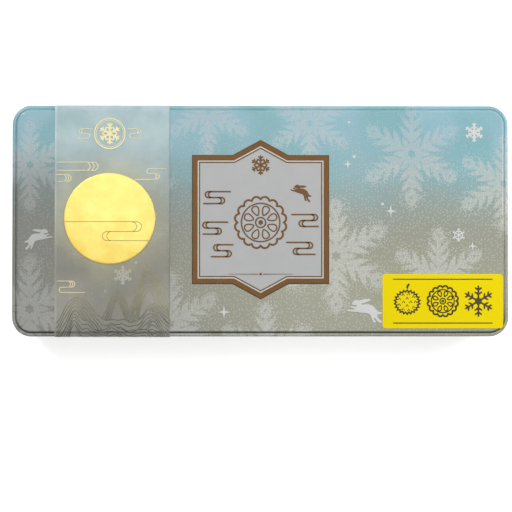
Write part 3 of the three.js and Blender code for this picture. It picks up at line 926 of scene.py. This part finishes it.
def settled(x, y, z):
    """The height of the film's section at x: its bow slopes down to the lid at its left edge."""
    if abs(y) >= BOW_REACH or z <= TIN_TOP:
        return z
    part = min(1, max(0, (x - SLEEVE_LEFT) / 2.2))
    return TIN_TOP + (z - TIN_TOP) * (part * part * (3 - 2 * part))


def on_film(x, along, height):
    """A point at that height over the film's outer face, so far along it from the top's middle."""
    reach = min(abs(along), WRAP_LENGTHS[-1] - 0.01)
    i = bisect_right(WRAP_LENGTHS, reach) - 1
    part = (reach - WRAP_LENGTHS[i]) / (WRAP_LENGTHS[i + 1] - WRAP_LENGTHS[i])
    y, z, out_y, out_z = (a + (b - a) * part for a, b in zip(WRAP[i], WRAP[i + 1]))
    off = FILM_GAP + FILM + height
    side = 1 if along >= 0 else -1
    return x, side * (y + out_y * off), settled(x, y, z) + out_z * off


def film_section(x):
    """The film's own section at x: its outer face from flap to flap, and its inner face back again."""
    outer, inner = [], []
    rows = [(-y, z, -out_y, out_z) for y, z, out_y, out_z in reversed(OTHER_WRAP)] + WRAP[1:]
    for y, z, out_y, out_z in rows:
        for points, off in ((outer, FILM_GAP + FILM), (inner, FILM_GAP)):
            points.append((x, y + out_y * off, settled(x, y, z) + out_z * off))
    return outer + inner[::-1]


def make_sleeve():
    stations = [0, 0.3, 0.6, 1.0, 1.4, 1.8, 2.2, 8, 16, 24, 32, 40, 48, 56, 64]
    width = SLEEVE_RIGHT - SLEEVE_LEFT
    sections = [film_section(SLEEVE_LEFT + x) for x in stations if x < width] + [film_section(SLEEVE_RIGHT)]
    film = dress("frosted film", frosted_film)
    return mesh_object("sleeve_film", lofted(sections), [film], smooth_deg=40)


# The hills on the sleeve, from the front row back: the height of each row's foot, how many nested lines it
# has and how far apart they lie there, and its humps, as middle, height and spread to the left and right
HillRow = namedtuple("HillRow", "foot lines step humps")
HILLS = [
    HillRow(-70, 5, 1.7, [(-112, 15, 5, 5), (-104, 8, 5, 6), (-88, 7, 8, 7), (-72, 5, 6, 6)]),
    HillRow(-70, 8, 1.5, [(-110.6, 24, 12, 16), (-65, 16, 12, 11), (-85, 8, 8, 8)]),
    HillRow(-62, 5, 1.5, [(-86, 21, 7, 7.5), (-63, 13, 8, 9)]),
    HillRow(-72, 6, 1.9, [(-68, 44.5, 10.4, 14.5)]),
]
HILL_LINE = 0.33


def ridge(row, x, number):
    """The height of one of a row's nested lines. Each hump is lower and narrower than the one round it."""
    waver = (0.4 + 0.05 * number) * (sin(0.9 * x + 0.9 * number) + sin(0.53 * x - 0.6 * number))
    height = row.foot - row.step * number + waver
    for middle, rise, left, right in row.humps:
        spread = (left if x < middle else right) * (1 - 0.06 * number)
        height += (1 - 0.02 * number) * rise * exp(-(((x - middle) / spread) ** 2))
    return height


def make_hills():
    """The contour lines of the hills. A line stops where a row in front of it stands higher."""
    paths = []
    for order, row in enumerate(HILLS):
        for number in range(row.lines):
            path = []
            for x in evenly(SLEEVE_LEFT + 0.9, SLEEVE_RIGHT - 0.6, 220):
                y = ridge(row, x, number)
                if any(ridge(front, x, 0) > y for front in HILLS[:order]):
                    paths.append(path)
                    path = []
                else:
                    path.append((x, y))
            paths.append(path)
    shapes = [ribbon(path, HILL_LINE, 0.005, 0.03) for path in paths if len(path) > 3]
    ink = dress("hill ink", hill_ink)
    return mesh_object("hill_lines", joined(shapes), [ink], place=on_film)


def spaced(path):
    """The path with more points on its long straight runs, so that it can follow the film."""
    points = [path[0]]
    for (x, y), (next_x, next_y) in zip(path, path[1:]):
        parts = ceil(hypot(next_x - x, next_y - y) / 2)
        points += list(zip(evenly(x, next_x, parts), evenly(y, next_y, parts)))[1:]
    return points


CLOUD_LINE = 0.52


def make_clouds():
    """The gold line clouds on the sleeve, and above the moon a crystal in a ring between clouds."""
    low, high = 0.005, 0.06
    paths = []
    # Two clouds that run in from the left edge, each closed by nested arcs
    for start, end, levels, gap in (
        (-122.9, -100.4, (35.3, 30.3), 2.4),
        (-123.4, -116.2, (27.8, 23.6), 1.5),
    ):
        paths.append(line_cloud(start, [end], start, levels))
        paths += [half_turn(end - gap * i, *levels, 1) for i in (1, 2)]
    # A cloud that winds twice, from the right edge
    paths.append(line_cloud(-56.6, (-67.1, -62.9), -75.7, (31.3, 28.4, 24.9)))
    paths.append(half_turn(-64.6, 28.4, 24.9, 1))
    # A cloud low on the left
    paths.append(line_cloud(-122.6, (-113.6, -119.5), -105.5, (-36.3, -40.0, -43.2)))
    paths += [half_turn(-113.6 - 1.3 * i, -36.3, -40.0, 1) for i in (1, 2)]
    # The crystal in its ring, and the clouds at its sides
    middle_x, middle_y = MOON_X, 52.6
    for side in (-1, 1):
        cloud = line_cloud(10.6, (17.0, 13.4), 19.6, (2.9, 0, -2.9))
        for path in (cloud, half_turn(15.6, 2.9, 0, 1)):
            paths.append([(middle_x + side * x, middle_y + y) for x, y in path])
    shapes = [ribbon(spaced(path), CLOUD_LINE, low, high) for path in paths]
    shapes.append(plate(crystal_outline(middle_x, middle_y, 6.4, BOLD_ARM), low, high, 0.02))
    for radius, width in ((9.5, 0.7), (8.3, 0.35)):
        ring = circle(middle_x, middle_y, radius, 96), circle(middle_x, middle_y, radius - width, 96)
        shapes.append(band(*ring, low, high, 0.02))
    gold = dress("pale gold foil", stamped_foil, "#f0eac8", "#e4dbac")
    return mesh_object("gold_clouds", joined(shapes), [gold], place=on_film)


def make_moon():
    """The foil disc, with a soft edge, stuck to the bowed film."""
    edge = [(0, 0.0), (0, 0.07), (0.05, 0.12), (0.14, 0.15), (0.9, 0.15)]
    flat = [6, 12, 18, 23, 26]
    rings = [(inset, 0.0) for inset in reversed(flat)] + edge + [(inset, MOON_FOIL) for inset in flat]
    loops = [at_height(circle(MOON_X, MOON_Y, MOON_RADIUS - inset, 160), STUCK_GAP + z) for inset, z in rings]
    gold = dress("gold foil", stamped_foil, "#fdf08f", "#f3d467")
    return mesh_object("moon_disc", lofted(loops), [gold], smooth_deg=60, place=on_film)


def make_moon_lines():
    """The line cloud cut through the foil, which shows dark."""
    low = STUCK_GAP + MOON_FOIL
    levels = (-0.6, -6.5, -12.0)
    near_rim = MOON_RADIUS - 0.3
    left = MOON_X - sqrt(near_rim**2 - (levels[0] - MOON_Y) ** 2)
    right = MOON_X + sqrt(near_rim**2 - (levels[-1] - MOON_Y) ** 2)
    paths = [
        line_cloud(left, (-74.6, -92.4), right, levels),
        half_turn(-77.6, *levels[:2], 1),
        half_turn(-89.8, *levels[1:], -1),
    ]
    shapes = [ribbon(spaced(path), 0.34, low, low + 0.02) for path in paths]
    ink = dress("cut line", printing_ink, "#9a8a45", "#7d6e35")
    return mesh_object("moon_lines", joined(shapes), [ink], place=on_film)


# The label


def make_label():
    loop = rounded_rectangle(LABEL_X, LABEL_Y, LABEL_WIDTH, LABEL_HEIGHT, LABEL_CORNER, 8)
    low = TIN_TOP + STUCK_GAP
    paper = dress("label paper", label_paper)
    return mesh_object("flavour_label_paper", plate(loop, low, low + LABEL_PAPER, 0.04), [paper])


def make_label_print():
    """The label's print: a spiny fruit, a mooncake and a snow crystal between two rules."""
    low = TIN_TOP + STUCK_GAP + LABEL_PAPER
    high = low + 0.02
    shapes = [ribbon([(-30, y), (30, y)], 0.7, low, high) for y in (-13.2, 13.2)]
    # The fruit, a little wider than it is high
    fruit_x, fruit_y = -21.5, -0.6
    fruit = []
    for i in range(44):
        radius = 8.6 if i % 2 else 7.2
        turn = tau * i / 44
        fruit.append((fruit_x + radius * cos(turn), fruit_y + 0.94 * radius * sin(turn)))
    shapes.append(band(fruit, drawn_in(fruit, 0.95), low, high, 0.01))
    for ring, spines in ((5.0, 9), (2.2, 4)):
        for x, y in circle(fruit_x, fruit_y, ring, spines):
            shapes.append(ribbon([(x - 0.8, y - 0.5), (x, y + 0.8), (x + 0.8, y - 0.5)], 0.6, low, high))
    stalk = [(fruit_x + x, y) for x, y in ((0, 7.6), (0.3, 9.2), (1.3, 10.4))]
    shapes.append(ribbon(stalk, 1.3, low, high))
    # The mooncake and the crystal
    shapes += mooncake_motif(0, 0.58, low, high)
    shapes.append(plate(crystal_outline(21.5, 0, 9.4, COPPER_ARM), low, high, 0.01))
    points, faces = joined(shapes)
    points = [(x + LABEL_X, y + LABEL_Y, z) for x, y, z in points]
    ink = dress("label ink", printing_ink, "#4c3d0a", "#41340a")
    return mesh_object("label_print", (points, faces), [ink])


# The pieces, and what each stands for

lid = make_lid()
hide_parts("tin_lid")
motifs = mesh_object("plaque_motifs", joined(plaque_motifs()), [lid_materials[COPPER]])
tray = make_tray()
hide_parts("tin_tray")
sleeve = make_sleeve()
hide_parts("vellum_sleeve")
moon = make_moon()
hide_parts("foil_disc")
label = make_label()
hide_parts("flavour_label")
hills = make_hills()
clouds = make_clouds()
moon_lines = make_moon_lines()
label_print = make_label_print()
for piece in (lid, motifs, tray, sleeve, moon, label, hills, clouds, moon_lines, label_print):
    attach(piece, "root")

# The floor

floor_half = 5000
floor_z = -0.2
corners = [(floor_half * side_x, floor_half * side_y, floor_z) for side_x, side_y in QUARTERS]
floor = mesh_object("studio_floor", (corners, [(0, 1, 2, 3)]), [dress("studio paper", studio_paper)])

# The studio is brighter behind the tin, at +Y, than on the camera's side
world = bpy.data.worlds.new("studio")
scene.world = world
world.use_nodes = True
studio = world.node_tree
studio.nodes.clear()
direction = add(studio, "SeparateXYZ", [add(studio, "TexCoord").outputs["Generated"]])
strength = add(studio, "MapRange", [direction.outputs["Y"], -1, 1, 0.24, 0.42])
sky = add(studio, "Background", {"Color": (1, 1, 1, 1), "Strength": strength})
add(studio, "OutputWorld", {"Surface": sky})
